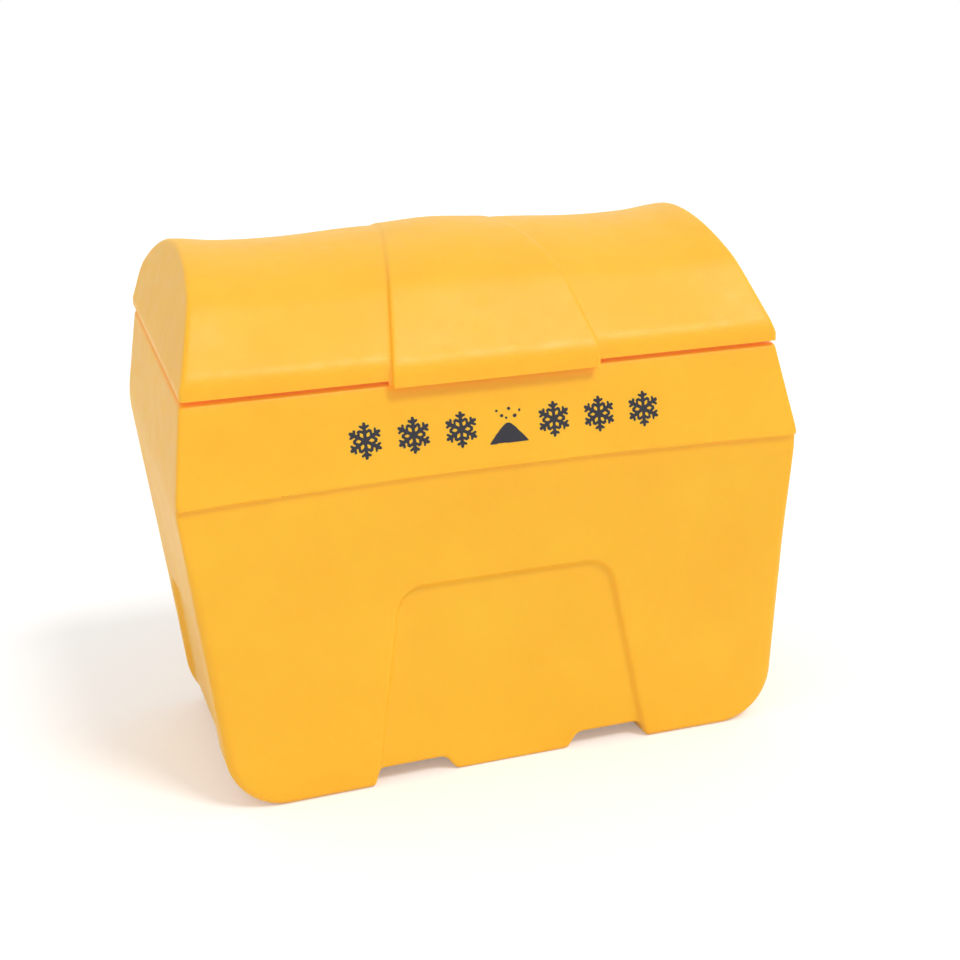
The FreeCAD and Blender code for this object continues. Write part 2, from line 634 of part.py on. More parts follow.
def make_hinge(side, word):
    """The bolt, washers, nut and bush of one hinge; the bolt's head is outermost."""
    centre = f"{side} * hinge_spread"
    head = hexagon(f"bolt_head_{word}", "head_height",
                   f"{centre} + {side} * (half_stack + washer_height + head_height / 2)")
    shank = cross_rod(f"bolt_shank_{word}", "bolt_radius",
                      "(half_stack * 2 + washer_height * 2 + nut_height + thread_end)",
                      f"{centre} - {side} * (nut_height + thread_end) / 2")
    bolt = combine("Fuse", f"hinge_bolt_{word}", head, shank)

    seat = f"{centre} - {side} * (half_stack + washer_height + nut_height / 2)"
    block = hexagon(f"nut_block_{word}", "nut_height", seat)
    thread = cross_rod(f"nut_thread_{word}", "bolt_radius", "nut_height * 2", seat)
    nut = combine("Cut", f"hinge_nut_{word}", block, thread)

    discs = [cross_rod(f"washer_{face}_{word}", "washer_radius", "washer_height",
                       f"{centre} + {sign} * (half_stack + washer_height / 2)")
             for face, sign in (("outer", 1), ("inner", -1))]
    hole = cross_rod(f"washer_hole_{word}", "bolt_radius + washer_play", "knuckle_width * 3", centre)
    washers = combine("Cut", f"hinge_washers_{word}", combine("Fuse", f"washer_discs_{word}", *discs), hole)

    barrel = cross_rod(f"bush_barrel_{word}", "bush_radius", "knuckle_width", centre)
    bore = cross_rod(f"bush_bore_{word}", "bolt_radius + running_play", "knuckle_width * 2", centre)
    bush = combine("Cut", f"knuckle_bush_{word}", barrel, bore)
    return [bolt, nut, washers, bush]


def write_parts(parts):
    doc.recompute()
    for item in doc.Objects:
        if {"Invalid", "Error"} & set(item.State):
            raise RuntimeError(f"{item.Name} failed: {item.State}")
    os.makedirs("parts", exist_ok=True)
    for part in parts:
        if part.Shape.isNull() or not part.Shape.isValid() or not part.Shape.Solids:
            raise RuntimeError(f"{part.Name} has no valid solid")
        part.Label = part.Name
        part.Shape.exportStep(f"parts/{part.Label}.step")
        box = part.Shape.BoundBox
        print(f"{part.Label}: {len(part.Shape.Solids)} solid, {part.Shape.Volume / 1000:.1f} cm3, "
              f"X {box.XMin:.1f} to {box.XMax:.1f}, Y {box.YMin:.1f} to {box.YMax:.1f}, "
              f"Z {box.ZMin:.1f} to {box.ZMax:.1f}")


write_parts([make_tub(), make_lid()] + make_hinge(-1, "left") + make_hinge(1, "right"))
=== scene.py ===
"""Grit salt bin: the finish of the tub, the lid and their hinge hardware.

The mouldings are given as fields: a number at each point of space, in millimetres, which
is nought on the skin, negative in the plastic and about the distance from the skin. A
net of quads is laid where the field crosses nought. A depth is a distance behind the
ledge along the front. A range gives where something starts and where it ends.
"""
from math import acos, atan, atan2, cos, hypot, pi, radians, sin, tan

import bmesh
import bpy
import numpy as np
from mathutils import Matrix, Vector


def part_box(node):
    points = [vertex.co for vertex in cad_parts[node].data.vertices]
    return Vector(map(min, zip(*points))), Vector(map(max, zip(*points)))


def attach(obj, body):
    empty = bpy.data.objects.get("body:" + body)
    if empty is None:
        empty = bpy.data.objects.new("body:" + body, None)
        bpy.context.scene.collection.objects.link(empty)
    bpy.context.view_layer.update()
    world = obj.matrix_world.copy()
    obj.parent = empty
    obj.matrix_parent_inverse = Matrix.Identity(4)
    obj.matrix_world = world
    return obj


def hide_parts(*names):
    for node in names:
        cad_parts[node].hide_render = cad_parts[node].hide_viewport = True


MM = 0.001
MIDDLE = 297    # the origin's depth
# Fold, rim and the lid's trim line all rise by this tilt towards the rear.
TILT = radians(9.1)
SLOPE = tan(TILT)

# The tub, from the ground up.
WALL, INSIDE_EDGE = 6, 4
BASE_HALF, BASE_FRONT, BASE_REAR, BASE_CORNER = 456, 10, 508, 85
FOLD_HEIGHT, FOLD_HEIGHT_REAR, FOLD_REAR, FOLD_WIDTH = 490, 580, 562, 7
FOLD_HALF_FRONT, FOLD_HALF_REAR = 505, 513.8
SIDE_SLOPE = (FOLD_HALF_FRONT - BASE_HALF) / FOLD_HEIGHT
UPPER_SIDE_LEAN, LOWER_REAR_LEAN = radians(8.2), radians(5.3)
LEDGE_STEP, LEDGE_OVERLAP, LEDGE_EDGE = 9, 12, 4
FASCIA_HEIGHT, RIM_FRONT, RIM_REAR = 143, 38, 556
RIM_HALF_FRONT, RIM_HALF_REAR, RIM_CORNER, RIM_EDGE = 481, 489.1, 25, 5
SHOULDER, UPSTAND_HEIGHT, UPSTAND_WALL = 13, 14, 6
UPSTAND_ROOT, UPSTAND_EDGE, UPSTAND_FILLET = 30, 2.5, 4
CHANNEL_HEIGHT, CHANNEL_RADIUS, CHANNEL_EDGE = 25, 8, 6
# Where a channel meets a foot, as half widths on the ground and at the channel's height.
CENTRE_FOOT, OUTER_FOOT = (96, 114), (234, 224)
RECESS_DEPTH, SIDE_RECESS_DEPTH = 12, 9
RECESS_RADIUS, RECESS_FILLET, RECESS_EDGE = 35, 9, 7
FRONT_RECESS_TOP, FRONT_RECESS_HALF_TOP, FRONT_RECESS_HALF_BASE = 319, 174, 230
SIDE_RECESS_TOP, SIDE_RECESS_FRONT, SIDE_RECESS_REAR = 258, 92, 452
# Upright corners: the radius on the ground, what the low range adds, and what the high takes.
FRONT_CORNER, REAR_CORNER = (10, 6, 10.5), (12, 35, 2)
LOW_CORNER_RANGE, HIGH_CORNER_RANGE = (0, 90), (300, 480)

# The lid, seen from the side, then its ends and its band.
LID_GAP, LID_WALL, TRIM_SPARE = 7.4, 5, 20
LID_FRONT, LID_REAR, SKIRT, SKIRT_END = 31, 557, 26.6, 12
FACET, REAR_LEAN = radians(51), radians(74)
CROWN_DEPTH, CROWN_CENTRE, CROWN_RADIUS = 335, 477, 370
SKIRT_BEND, CROWN_BEND, REAR_BEND = 11, 5, 9
LID_HALF_FRONT, LID_HALF_REAR, END_LEAN = 484, 493, radians(18.3)
# The ends' edge, and how much rounder it is towards the rear and towards the skirt.
END_EDGE, END_EDGE_MORE, END_EDGE_DEPTHS, END_EDGE_HEIGHTS = 6, 30, (490, 560), (90, 30)
BAND_RISE, BAND_EDGE, BAND_FILLET, BAND_ASLANT = 8, 5, 5, 0.96
BAND_CAMBER, CAMBER_ROUND, CAMBER_MOST, CAMBER_DEPTHS = 7.5, 30, 0.9, (70, 300)
BAND_LIP, BAND_SHOULDER, BAND_CROWN, BAND_SHOULDER_DEPTH, BAND_BEND = 173, 138, 93, 113, 12
LIP_FRONT, LIP_DROP, LIP_HALF, LIP_DEPTH = 17, 7, 170, 34
# Blocks that trim the skirt: half width, front, rear and height.
TRIM_HALF, TRIM_FRONT, TRIM_REAR, TRIM_DEEP = 600, -300, 500, 100

# How far cooling drew the panels in, and the ranges over which it did.
FRONT_SAG, LEDGE_BOW, SIDE_SAG, REAR_SAG, LID_SAG, END_LIFT = 13, 3.5, 5, 8, 7, 3.5
FRONT_SAG_BASE, FRONT_SAG_MORE, FRONT_SAG_RANGE = 0.55, 0.45, (0, 400)
SIDE_SAG_DEPTHS, SIDE_SAG_HEIGHTS = (15, 555), (10, 590)
REAR_SAG_WIDTHS, REAR_SAG_HEIGHTS = (-500, 500), (30, 630)
LID_SAG_WIDTHS, END_LIFT_WIDTHS, LID_SAG_HEIGHTS = (110, 470), (360, 430), (20, 110)

# The hinges: one axis along X, with an eye on each side of a knuckle.
HINGE_SPREAD, HINGE_Y, HINGE_Z = 300, 282, 700
EAR_RADIUS, EAR_MIDDLE, EAR_HALF, EAR_HOLE = 15, 41, 10, 6.1
KNUCKLE_RADIUS, KNUCKLE_HALF, BUSH_SLACK = 14, 30, 0.05
LEAF_EDGE, HOLE_EDGE, EAR_FILLET, KNUCKLE_FILLET = 2, 0.6, 1.5, 5
# Roots are (y, z). A form at a hinge is joined on with a thin copy of the wall it grows from,
# whose outer face lies inside the moulding's by a seat. EAR_WALL_Y is the copy's inner face at
# the ears, KNUCKLE_WALL its thickness at the knuckle, and a block, as half width, lowest and
# highest, is where it ends. The knuckle's roots and highest count up from the skirt's edge.
SEAT, EAR_WALL_Y, KNUCKLE_WALL = 0.15, 257.8, 4
EAR_ROOTS, KNUCKLE_ROOTS = ((262, 634), (256, 709)), ((257, 4), (250, 32))
EAR_BLOCK, KNUCKLE_BLOCK = (57, 626, 714.6), (44, 660, 52)
# The stop heel: where its flat starts round the axis, the flat's length, and its two roots.
HEEL_TURN, HEEL_REACH, HEEL_FLAT = radians(287.5), 21.9, 8.5
HEEL_ROOT, HEEL_BEFORE, HEEL_AFTER = 12, radians(60), radians(70)

# Bolts, nuts, washers and bushes.
BOLT_RADIUS, BUSH_RADIUS, BUSH_BORE, BUSH_EDGE = 6, 9, 6.08, 0.5
HEX_RADIUS, WASHER_RADIUS, WASHER_HOLE, WASHER_EDGE = 10.4, 12, 6.25, 0.35
EAR_FACE, WASHER_FACE, HEAD_FACE, NUT_FACE, BOLT_END = 51, 53.5, 61, 65.5, 68.5
NUT_HOLE, HOLE_SPARE, SHANK_SPARE = 6.03, 2, 3
INSERT_HOLE, INSERT_RADIUS, INSERT_START, INSERT_END, INSERT_EDGE = 6.04, 7.2, 0.1, 2, 0.2
# The thread: a bevelled tip, then crests and roots, which are cuts into the bolt's radius.
TIP, TIP_RADII, HALF_PITCH, THREAD_STEPS, CREST, ROOT = 0.8, (4.9, 5.9), 0.35, 12, 0.1, 0.75
# The steps of a full turn, and how near points are welded.
ROUND_STEPS, WELD = 64, 0.001
# What a bolt head and a nut keep of their hexagons, as (along, radius) about the axis.
HEAD_PROFILE = [
    (WASHER_FACE - 1, 0), (WASHER_FACE - 1, 12), (HEAD_FACE - 1.3, 10.9), (HEAD_FACE, 8.7),
    (HEAD_FACE, 7.6), (HEAD_FACE - 0.4, 7.1), (HEAD_FACE - 0.4, 0)]
NUT_PROFILE = [
    (-NUT_FACE + 0.6, 0), (-NUT_FACE + 0.6, 7), (-NUT_FACE, 7.5), (-NUT_FACE + 0.3, 8.3),
    (-NUT_FACE + 1, 8.7), (-NUT_FACE + 3.2, 8.8), (-NUT_FACE + 4.4, 10.9), (-WASHER_FACE - 1, 11),
    (-WASHER_FACE, 9.4), (-WASHER_FACE, 0)]

# Symbols of cut film on the front band, and the box that holds each.
SYMBOLS, SYMBOL_START, SYMBOL_PITCH, SYMBOL_HEIGHT = 7, -214, 75.5, 560
SYMBOL_HALF_WIDTH, SYMBOL_HALF_HEIGHT, SYMBOL_FRONT, SYMBOL_REAR = 38, 33, -296, -250
FILM, FILM_ROOT = 0.3, 2
CRYSTAL_ARM, STROKE, TWIG_STROKE, TWIG_LEAN = 25.4, 3.0, 0.8, 0.6
TWIGS = ((11, 7.5), (18.5, 6))    # how far out each pair starts, and how wide it spreads
HEAP_TOP, HEAP_FOOT, HEAP_SLOPE, HEAP_ROUND, HEAP_STEEP, HEAP_EDGE = 3, -28.5, 1.2, 8, 0.66, 2
GRAINS = ((-9, 14, 3), (3, 24, 3), (12, 12, 3.4), (-2, 10, 2.6), (20, 20, 2.6), (-17, 22, 2.6))
GRAIN_SIDE = (0.87, 0.5)    # which way a grain's slanting sides face

# Cells of the nets, the angles at which a mould's net is refined, and the boxes of what is
# joined on or cut out: for a form at a hinge its half width, then (y, z) from lowest to highest.
TUB_CELL, LID_CELL, HINGE_CELL, FILM_CELL = 8, 5, 2.5, 1.2
BENDS = (12, 25)
LID_SPARE = 50
THROAT_BOX = (-480, -270, 610), (480, 270, 750)
EARS_BOX, KNUCKLE_BOX = (60, (252, 620), (300, 720)), (48, (240, 655), (300, 785))
# How a point is moved onto a skin: the probe's length, the least slope and the longest move.
PROBE, LEAST_SLOPE, LONGEST_MOVE = 0.2, 0.2, 8
SHARP_ANGLE = radians(35)

# Finishes. The noise of a texture lies mostly within its range.
YELLOW, YELLOW_DEEP = (0.99, 0.5, 0.014), (0.96, 0.47, 0.01)
NOISE_RANGE = (0.3, 0.7)
# Bump as (scale, detail) of a noise, a strength and a depth in metres.
WAVES, PEBBLES = ((28, 2), 0.3, 0.0012), ((380, 2), 0.25, 0.0004)
# Painted glow, emission for light through the plastic in gaps and inner corners: how far it looks
# for what encloses a point, how open the point may be, and the heights over which it sets in, in
# metres.
PAINTED_GLOW_COLOUR, PAINTED_GLOW_STRENGTH, PAINTED_GLOW_REACH = (1, 0.25, 0.1, 1), 0.32, 0.04
PAINTED_GLOW_OPENNESS, PAINTED_GLOW_HEIGHTS, PAINTED_GLOW_SAMPLES = (0.2, 0.85), (0.03, 0.09), 2

# The studio, with its key light in degrees and its floor in metres.
AMBIENT, KEY_STRENGTH, KEY_TURN, KEY_HEIGHT, KEY_WIDTH = 0.75, 1.2, 28, 51, 16
FLOOR_COLOUR, FLOOR_GLOW, FLOOR_HALF, FLOOR_Z = (0.88, 0.88, 0.87, 1), 0.22, 20, -0.0004
WHITE = (1, 1, 1, 1)

# The photo's camera: its place in metres, and its angles in degrees.
CAMERA_SPOT = Vector((-0.710, -2.3847, 1.0735))
CAMERA_TURN, CAMERA_DIP, CAMERA_ROLL = 17.672, 15.051, -2.580
IMAGE_WIDTH, FOCAL_PIXELS, SENSOR_WIDTH = 960, 1487.73, 36.0

finishes = {}    # materials by name


def both(a, b, radius):
    """Inside two forms at once, with a rounded edge where their skins cross."""
    edge = np.hypot(np.maximum(a + radius, 0), np.maximum(b + radius, 0))
    return np.minimum(np.maximum(a, b), -radius) + edge


def either(a, b, radius):
    """Inside one form or the other, with a fillet in the corner between them."""
    return -both(-a, -b, radius)


def bent(a, b, width):
    """Inside two forms whose skins meet at a shallow fold, softened over a width."""
    near = np.maximum(width - np.abs(a - b), 0) / width
    return np.maximum(a, b) + near * near * width / 4


def ease(value, start, end):
    """From 0 at the start of a range to 1 at its end, and level beyond both."""
    t = np.clip((value - start) / (end - start), 0, 1)
    return t * t * (3 - 2 * t)


def hump(value, start, end):
    """1 at the middle of a range, 0 at its ends and beyond, and level at all three."""
    t = (value - (start + end) / 2) / ((end - start) / 2)
    return np.clip(1 - t * t, 0, 1) ** 2


def part_way(start, end, share):
    """A value some share of the way from one to another."""
    return start + (end - start) * share


def tub_skins(place):
    """How far a point is from the tub's faces, its share of the fascia's rise, and its height."""
    x, depth, z = np.abs(place[..., 0]), place[..., 1] + MIDDLE, place[..., 2]
    across = x / FOLD_HALF_FRONT
    bow = np.clip(1 - across * across, 0, 1)
    back = depth / FOLD_REAR
    fold = FOLD_HEIGHT + depth * SLOPE + LEDGE_BOW * bow
    rise = (z - fold) / FASCIA_HEIGHT

    fold_half = part_way(FOLD_HALF_FRONT, FOLD_HALF_REAR, back)
    rim_half = part_way(RIM_HALF_FRONT, RIM_HALF_REAR, back)
    lower = (x - BASE_HALF - SIDE_SLOPE * z) * cos(atan(SIDE_SLOPE))
    upper = (x - fold_half - (rim_half - fold_half) * rise) * cos(UPPER_SIDE_LEAN)
    panel = hump(depth, *SIDE_SAG_DEPTHS)
    side = bent(lower, upper, FOLD_WIDTH) + SIDE_SAG * panel * hump(z, *SIDE_SAG_HEIGHTS)

    share = FRONT_SAG_BASE + FRONT_SAG_MORE * ease(z, *FRONT_SAG_RANGE)
    ahead = FRONT_SAG * bow * share * (1 - ease(rise, 0, 1)) - depth
    low_face = BASE_FRONT - (BASE_FRONT - LEDGE_STEP) * z / FOLD_HEIGHT + ahead
    lean = RIM_FRONT / (FASCIA_HEIGHT + RIM_FRONT * SLOPE)
    high_face = (lean * (z - FOLD_HEIGHT) + ahead) * cos(atan(lean))
    over = (z - fold) * cos(TILT)
    # Each form is carried on inside the other, and no further, or it would show at the rear.
    below = np.maximum(low_face, np.minimum(over - LEDGE_OVERLAP, high_face + LEDGE_OVERLAP))
    above = both(high_face, np.minimum(-over, low_face + LEDGE_OVERLAP / 2), LEDGE_EDGE)
    front = either(below, above, LEDGE_EDGE)

    low_back = depth - BASE_REAR - (FOLD_REAR - BASE_REAR) * z / FOLD_HEIGHT_REAR
    high_back = depth - FOLD_REAR + (FOLD_REAR - RIM_REAR) * rise
    panel = REAR_SAG * hump(x, *REAR_SAG_WIDTHS) * hump(z, *REAR_SAG_HEIGHTS)
    rear = bent(low_back * cos(LOWER_REAR_LEAN), high_back, FOLD_WIDTH) + panel
    return side, front, rear, rise, z


def corner_radius(radii, low, high):
    """The radius of an upright corner, from its share of the low and the high range."""
    start, gain, loss = radii
    return start + gain * low - loss * high


def pressed_in(core, outline, face, depth):
    """Sink an outline into a face of the tub, by a depth."""
    return both(core, -both(outline, -(face + depth), RECESS_FILLET), RECESS_EDGE)


def tub_core(place):
    """The tub as a solid block without its rim: walls, feet, channels and recesses."""
    x, depth = np.abs(place[..., 0]), place[..., 1] + MIDDLE
    side, front, rear, rise, z = tub_skins(place)
    low = ease(z, *LOW_CORNER_RANGE)
    front_corner = corner_radius(FRONT_CORNER, low, ease(z, *HIGH_CORNER_RANGE))
    rear_corner = corner_radius(REAR_CORNER, low, ease(rise, 0, 1))
    core = both(both(both(side, -z, BASE_CORNER), front, front_corner), rear, rear_corner)

    up = z / CHANNEL_HEIGHT
    across = np.maximum(part_way(*CENTRE_FOOT, up) - x, x - part_way(*OUTER_FOOT, up))
    channel = both(across, z - CHANNEL_HEIGHT, CHANNEL_RADIUS)
    core = both(core, -channel, CHANNEL_EDGE)

    flare = (FRONT_RECESS_HALF_BASE - FRONT_RECESS_HALF_TOP) / FRONT_RECESS_TOP
    outline = (x - FRONT_RECESS_HALF_BASE + flare * z) * cos(atan(flare))
    outline = both(outline, z - FRONT_RECESS_TOP, RECESS_RADIUS)
    core = pressed_in(core, outline, front, RECESS_DEPTH)

    outline = np.maximum(SIDE_RECESS_FRONT - depth, depth - SIDE_RECESS_REAR)
    outline = both(outline, z - SIDE_RECESS_TOP, RECESS_RADIUS)
    return pressed_in(core, outline, side, SIDE_RECESS_DEPTH)


def rim_ring(place, inset, low, high):
    """A block square to the rim, whose sides lie some way inside the rim's edge."""
    x, y, z = np.abs(place[..., 0]), place[..., 1], place[..., 2] - rim_height(0)
    back = (y * cos(TILT) + z * sin(TILT)) * cos(TILT)
    above = z * cos(TILT) - y * sin(TILT)
    half = RIM_HALF_FRONT + (RIM_HALF_REAR - RIM_HALF_FRONT) * (back + MIDDLE) / RIM_REAR - inset
    ends = np.maximum(RIM_FRONT - MIDDLE + inset - back, back - RIM_REAR + MIDDLE + inset)
    outline = both(ends, x - half, RIM_CORNER)
    return both(np.maximum(outline, low - above), above - high, UPSTAND_EDGE)


def rim_height(y):
    return FOLD_HEIGHT + FASCIA_HEIGHT + (y + MIDDLE) * SLOPE


def above_rim(place):
    return (place[..., 2] - rim_height(place[..., 1])) * cos(TILT)


def tub_outside(place):
    core = both(tub_core(place), above_rim(place), RIM_EDGE)
    return either(core, rim_ring(place, SHOULDER, -UPSTAND_ROOT, UPSTAND_HEIGHT), UPSTAND_FILLET)


def tub_inside(place):
    return both(tub_core(place) + WALL, above_rim(place) + WALL, INSIDE_EDGE)


def tub_throat(place):
    return rim_ring(place, SHOULDER + UPSTAND_WALL, -2 * WALL, 3 * WALL)


def skirt_height(depth):
    return FOLD_HEIGHT + FASCIA_HEIGHT + LID_GAP + depth * SLOPE


def lid_roll(depth, z, front, rise, sag):
    """The lid from the side: skirt, facet, crown and rear, all raised and some sagging."""
    knee = skirt_height(LID_FRONT) + SKIRT
    facet = (z - knee) * cos(FACET) - (depth - LID_FRONT) * sin(FACET) - rise + sag
    crown = np.hypot(depth - CROWN_DEPTH, z - CROWN_CENTRE) - CROWN_RADIUS - rise + sag
    rear_foot = skirt_height(LID_REAR)
    rear = (depth - LID_REAR) * sin(REAR_LEAN) + (z - rear_foot) * cos(REAR_LEAN) - rise
    face = bent(bent(front - depth, facet, SKIRT_BEND), crown, CROWN_BEND)
    return bent(face, rear, REAR_BEND)


def band_half(depth):
    """Half the width of the band, which narrows fast over the lip and slowly to the crown."""
    fast = BAND_LIP - (BAND_LIP - BAND_SHOULDER) * depth / BAND_SHOULDER_DEPTH
    slow = BAND_SHOULDER - (BAND_SHOULDER - BAND_CROWN) * (depth - BAND_SHOULDER_DEPTH) / (
        CROWN_DEPTH - BAND_SHOULDER_DEPTH)
    return bent(bent(fast, slow, BAND_BEND), BAND_CROWN, BAND_BEND)


def lid_dome(place):
    """The lid's outer skin, carried on below its bottom edge."""
    x, depth, z = np.abs(place[..., 0]), place[..., 1] + MIDDLE, place[..., 2]
    up = z - skirt_height(depth)
    half = LID_HALF_FRONT + (LID_HALF_REAR - LID_HALF_FRONT) * depth / (2 * MIDDLE)
    half = half - np.maximum(up, SKIRT_END) * tan(END_LEAN)
    end = (x - half) * cos(END_LEAN)
    sag = LID_SAG * hump(x, *LID_SAG_WIDTHS) - END_LIFT * ease(x, *END_LIFT_WIDTHS)
    sag = sag * ease(up, *LID_SAG_HEIGHTS)
    rounder = END_EDGE_MORE * ease(depth, *END_EDGE_DEPTHS) * ease(up, *END_EDGE_HEIGHTS)
    panels = both(lid_roll(depth, z, LID_FRONT, 0, sag), end, END_EDGE + rounder)

    narrowing = band_half(depth)
    fade = ease(depth, *CAMBER_DEPTHS)
    out = (np.hypot(x, CAMBER_ROUND) - CAMBER_ROUND) / narrowing
    rise = BAND_RISE - fade * BAND_CAMBER * np.minimum(out, CAMBER_MOST)
    sides = (x - narrowing) * BAND_ASLANT
    band = both(lid_roll(depth, z, LIP_FRONT, rise, 0), sides, BAND_EDGE)
    return either(panels, band, BAND_FILLET)


def lid_outside(place):
    return np.maximum(lid_dome(place), below_lid(place) - TRIM_SPARE)


def lid_inside(place):
    return np.maximum(lid_dome(place) + LID_WALL, below_lid(place) - 2 * TRIM_SPARE)


def below_lid(place):
    return (skirt_height(place[..., 1] + MIDDLE) - place[..., 2]) * cos(TILT)


def slope_of(field, places):
    """The field's steepest rise at each place."""
    slopes = np.empty_like(places)
    for axis in range(3):
        shift = np.zeros(3)
        shift[axis] = PROBE
        slopes[:, axis] = (field(places + shift) - field(places - shift)) / (2 * PROBE)
    return slopes


def settle(field, places, rounds=4):
    """Move places straight onto the skin of a field."""
    for _ in range(rounds):
        slopes = slope_of(field, places)
        steep = np.maximum((slopes ** 2).sum(1), LEAST_SLOPE)
        move = np.clip(field(places) / steep, -LONGEST_MOVE, LONGEST_MOVE)
        places = places - move[:, None] * slopes
    return places


def net(field, low, high, cell):
    """Points and quads near the skin of a field, from a grid of cells between two corners."""
    axes = [np.arange(a - 2 * cell, b + 3 * cell, cell) for a, b in zip(low, high)]
    slices = (np.stack(np.meshgrid([x], *axes[1:], indexing="ij"), -1) for x in axes[0])
    value = np.stack([field(places)[0] for places in slices])
    inside = value < 0
    size = np.array(value.shape) - 1
    corners = sum(inside[i:size[0] + i, j:size[1] + j, k:size[2] + k].astype(int)
                  for i in (0, 1) for j in (0, 1) for k in (0, 1))
    crossed = (corners > 0) & (corners < 8)
    count = int(crossed.sum())
    index = np.full(crossed.shape, -1)
    index[crossed] = np.arange(count)
    total, parts, quads = np.zeros((count, 3)), np.zeros(count), []
    for axis in range(3):
        ahead = np.roll(np.arange(3), -axis)
        lower = [slice(None)] * 3
        upper = [slice(None)] * 3
        lower[axis], upper[axis] = slice(None, -1), slice(1, None)
        near, far = value[tuple(lower)], value[tuple(upper)]
        edges = np.argwhere((near < 0) != (far < 0))
        start, end = near[tuple(edges.T)], far[tuple(edges.T)]
        crossing = edges.astype(float)
        crossing[:, axis] += start / (start - end)
        around = []
        for u, v in ((0, 0), (1, 0), (1, 1), (0, 1)):
            cells = edges.copy()
            cells[:, ahead[1]] -= u
            cells[:, ahead[2]] -= v
            around.append(index[tuple(cells.T)])
        faces = np.stack(around, 1)
        faces[start > 0] = faces[start > 0][:, ::-1]
        quads.append(faces)
        for cells in around:
            parts += np.bincount(cells, minlength=count)
            for k in range(3):
                total[:, k] += np.bincount(cells, crossing[:, k], count)
    places = total / parts[:, None] * cell + np.array([axis[0] for axis in axes])
    return places, np.concatenate(quads)


def relax(places, quads, rounds):
    """Even out a net by moving each point towards its neighbours' middle."""
    start, end = quads.ravel(), np.roll(quads, -1, axis=1).ravel()
    degree = np.bincount(start, minlength=len(places)) + np.bincount(end, minlength=len(places))
    for _ in range(rounds):
        middle = np.stack([np.bincount(start, places[end, k], len(places)) + np.bincount(
            end, places[start, k], len(places)) for k in range(3)], 1)
        places = places * 0.5 + middle / degree[:, None] * 0.5
    return places


def refine(mesh, field, bend):
    """Split the edges whose ends face different ways, and settle them again."""
    places = np.empty(len(mesh.vertices) * 3)
    mesh.vertices.foreach_get("co", places)
    slopes = slope_of(field, places.reshape(-1, 3))
    slopes /= np.linalg.norm(slopes, axis=1)[:, None]
    shape = bmesh.new()
    shape.from_mesh(mesh)
    ends = np.array([[v.index for v in edge.verts] for edge in shape.edges])
    folded = (slopes[ends[:, 0]] * slopes[ends[:, 1]]).sum(1) < cos(radians(bend))
    chosen = [edge for edge, split in zip(shape.edges, folded) if split]
    bmesh.ops.subdivide_edges(shape, edges=chosen, cuts=1, use_grid_fill=True)
    shape.to_mesh(mesh)
    shape.free()
    places = np.empty(len(mesh.vertices) * 3)
    mesh.vertices.foreach_get("co", places)
    mesh.vertices.foreach_set("co", settle(field, places.reshape(-1, 3)).ravel())


def skin(name, field, low, high, cell, bends=()):
    """An object, in metres, whose surface is the skin of a field."""
    places, quads = net(field, low, high, cell)
    for _ in range(3):
        places = settle(field, relax(places, quads, 2), 2)
    mesh = bpy.data.meshes.new(name)
    mesh.from_pydata(settle(field, places), [], quads.tolist())
    for bend in bends:
        refine(mesh, field, bend)
    mesh.transform(Matrix.Scale(MM, 4))
    return linked(name, mesh)


def linked(name, data):
    """A new object in the scene, which holds some data."""
    item = bpy.data.objects.new(name, data)
    bpy.context.scene.collection.objects.link(item)
    return item


def solid(name, shape, matrix):
    """A new object in the scene from a bmesh, which is moved and used up."""
    mesh = bpy.data.meshes.new(name)
    shape.to_mesh(mesh)
    shape.free()
    mesh.transform(matrix)
    return linked(name, mesh)


def cell_size(fine):
    return fine


def carve(shape, tool, operation="DIFFERENCE"):
    """Join, cut or keep what one object shares with another, which is used up."""
    modifier = shape.modifiers.new("carve", "BOOLEAN")
    modifier.operation, modifier.object, modifier.solver = operation, tool, "MANIFOLD"
    bake_modifiers(shape)
    bpy.data.objects.remove(tool)


def bake_modifiers(shape):
    graph = bpy.context.evaluated_depsgraph_get()
    mesh = bpy.data.meshes.new_from_object(shape.evaluated_get(graph))
    shape.modifiers.clear()
    old, shape.data = shape.data, mesh
    bpy.data.meshes.remove(old)


def smooth(shape):
    shape.data.shade_smooth()
    shape.data.set_sharp_from_angle(angle=SHARP_ANGLE)


def wedge(place, corners):
    """Distance outside a convex prism along X, from its (y, z) corners taken anticlockwise."""
    far = None
    for (y, z), (next_y, next_z) in zip(corners, corners[1:] + corners[:1]):
        length = hypot(next_y - y, next_z - z)
        out = ((place[..., 1] - y) * (next_z - z) - (place[..., 2] - z) * (next_y - y)) / length
        far = out if far is None else np.maximum(far, out)
    return far


def round_axis(radius, angle):
    """The (y, z) of a point about the hinge axis."""
    return HINGE_Y + radius * cos(angle), HINGE_Z + radius * sin(angle)


def touch(point, radius, turn):
    """Where a line from a point touches the circle of an eye round the hinge axis."""
    y, z = point[0] - HINGE_Y, point[1] - HINGE_Z
    return round_axis(radius, atan2(z, y) + turn * acos(radius / hypot(y, z)))


def hinge_eye(place, across, half_width, radius, low, high):
    """A leaf round the hinge axis whose sides run tangent from it to two roots in a wall."""
    web = wedge(place, [low, touch(low, radius, 1), touch(high, radius, -1), high])
    eye = np.hypot(place[..., 1] - HINGE_Y, place[..., 2] - HINGE_Z) - radius
    return both(np.minimum(eye, web), np.abs(across) - half_width, LEAF_EDGE)


def bored(shape, place, radius):
    """A form with a hole along the hinge axis."""
    hole = radius - np.hypot(place[..., 1] - HINGE_Y, place[..., 2] - HINGE_Z)
    return both(shape, hole, HOLE_EDGE)


def in_block(shape, across, place, half, low, high):
    """A form cut off by a block about a hinge, whose faces lie inside the moulding."""
    block = np.maximum(np.abs(across) - half, np.maximum(low - place[..., 2], place[..., 2] - high))
    return np.maximum(shape, block)


